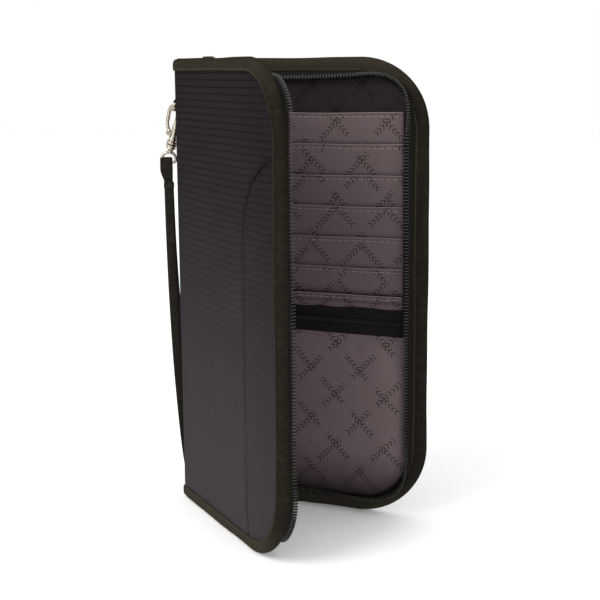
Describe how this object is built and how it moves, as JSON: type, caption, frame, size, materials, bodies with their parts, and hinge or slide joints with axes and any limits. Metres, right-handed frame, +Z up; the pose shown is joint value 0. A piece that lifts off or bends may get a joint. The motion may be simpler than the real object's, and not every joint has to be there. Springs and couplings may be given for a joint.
{
  "type": "passport holder wallet",
  "caption": "Zip-round fabric travel wallet standing part open, with card slots and a zipped pocket inside and a swivel snap hook with a wrist loop on the spine.",
  "frame": {"origin": "on the standing surface, at the middle of the wallet's box without the wrist strap", "axes": "+Z up the covers, +X from the spine along the back cover to its free edge, the inside of the back cover facing -Y"},
  "size_m": [0.1582, 0.1287, 0.236],
  "materials": {
    "shell_fabric": "ripstop weave, slight sheen",
    "binding_tape": "ribbed grosgrain",
    "stiffener": "matte",
    "lining_fabric": "smooth printed lining",
    "zip_tape": "woven tape",
    "zip_coil": "satin nylon",
    "slider_metal": "black enamel",
    "hook_metal": "warm nickel plating",
    "strap_webbing": "narrow webbing"
  },
  "bodies": {
    "back_cover": {"back_binding": "binding_tape", "back_board": "stiffener", "back_lining": "lining_fabric", "back_outer_panel": "shell_fabric", "back_zip_coil": "zip_coil", "back_zip_tape": "zip_tape", "card_slot_1": "lining_fabric", "card_slot_2": "lining_fabric", "card_slot_3": "lining_fabric", "card_slot_4": "lining_fabric", "card_slot_5": "lining_fabric", "card_slot_6": "lining_fabric", "card_slot_7": "lining_fabric", "lower_pocket_panel": "lining_fabric", "pocket_zip_coil": "zip_coil", "pocket_zip_tape_lower": "zip_tape", "pocket_zip_tape_upper": "zip_tape"},
    "spine": {"spine_binding_bottom": "binding_tape", "spine_binding_top": "binding_tape", "spine_board": "stiffener", "spine_fold_back": "shell_fabric", "spine_fold_front": "shell_fabric", "spine_lining": "lining_fabric", "spine_panel": "shell_fabric", "strap_tab": "strap_webbing"},
    "front_cover": {"front_binding": "binding_tape", "front_board": "stiffener", "front_lining": "lining_fabric", "front_main_panel": "shell_fabric", "front_side_panel": "shell_fabric", "front_zip_coil": "zip_coil", "front_zip_tape": "zip_tape", "passport_pocket": "lining_fabric"},
    "main_slider": {"main_zip_slider": "slider_metal"},
    "main_pull": {"main_zip_pull": "slider_metal"},
    "pocket_slider": {"pocket_zip_slider": "slider_metal"},
    "pocket_pull": {"pocket_zip_pull": "slider_metal"},
    "ring": {"hook_ring": "hook_metal"},
    "hook": {"snap_hook": "hook_metal"},
    "gate": {"hook_gate": "hook_metal"},
    "swivel": {"swivel_eye": "hook_metal", "strap_head": "strap_webbing", "strap_keeper": "strap_webbing", "wrist_strap": "strap_webbing"}
  },
  "joints": [
    {"name": "spine_fold", "type": "hinge", "parent": "back_cover", "child": "spine", "pos_m": [-0.05085, 0.04789, 0.1175], "axis": [0, 0, 1], "range_deg": [-70, 20]},
    {"name": "cover_fold", "type": "hinge", "parent": "spine", "child": "front_cover", "pos_m": [-0.05687, 0.03136, 0.1175], "axis": [0, 0, 1], "range_deg": [-70, 20]},
    {"name": "main_zip_slide", "type": "slide", "parent": "back_cover", "child": "main_slider", "axis": [1, 0, 0], "range_m": [0, 0.07]},
    {"name": "main_pull_flip", "type": "hinge", "parent": "main_slider", "child": "main_pull", "pos_m": [-0.04195, 0.03969, 0.2342], "axis": [0, 1, 0], "range_deg": [-120, 0]},
    {"name": "pocket_zip_slide", "type": "slide", "parent": "back_cover", "child": "pocket_slider", "axis": [1, 0, 0], "range_m": [0, 0.07]},
    {"name": "pocket_pull_flip", "type": "hinge", "parent": "pocket_slider", "child": "pocket_pull", "pos_m": [-0.03015, 0.04198, 0.1015], "axis": [0, 0, 1], "range_deg": [-120, 0]},
    {"name": "ring_swing", "type": "hinge", "parent": "spine", "child": "ring", "pos_m": [-0.05897, 0.0367, 0.212], "axis": [-0.342, -0.9397, 0], "range_deg": [-60, 0]},
    {"name": "hook_swing", "type": "hinge", "parent": "ring", "child": "hook", "pos_m": [-0.06374, 0.03843, 0.20844], "axis": [-0.342, -0.9397, 0], "range_deg": [-60, 0]},
    {"name": "gate_spring", "type": "hinge", "parent": "hook", "child": "gate", "pos_m": [-0.06709, 0.03965, 0.19656], "axis": [-0.342, -0.9397, 0], "range_deg": [-35, 0], "stiffness_Nm_per_rad": 0.02, "springref_deg": 11.46},
    {"name": "swivel_turn", "type": "hinge", "parent": "hook", "child": "swivel", "pos_m": [-0.06556, 0.03909, 0.1924], "axis": [0.3059, -0.1113, 0.9455], "continuous": true}
  ],
  "couplings": [
    {"joint": "cover_fold", "follows": "spine_fold", "ratio": 1}
  ]
}
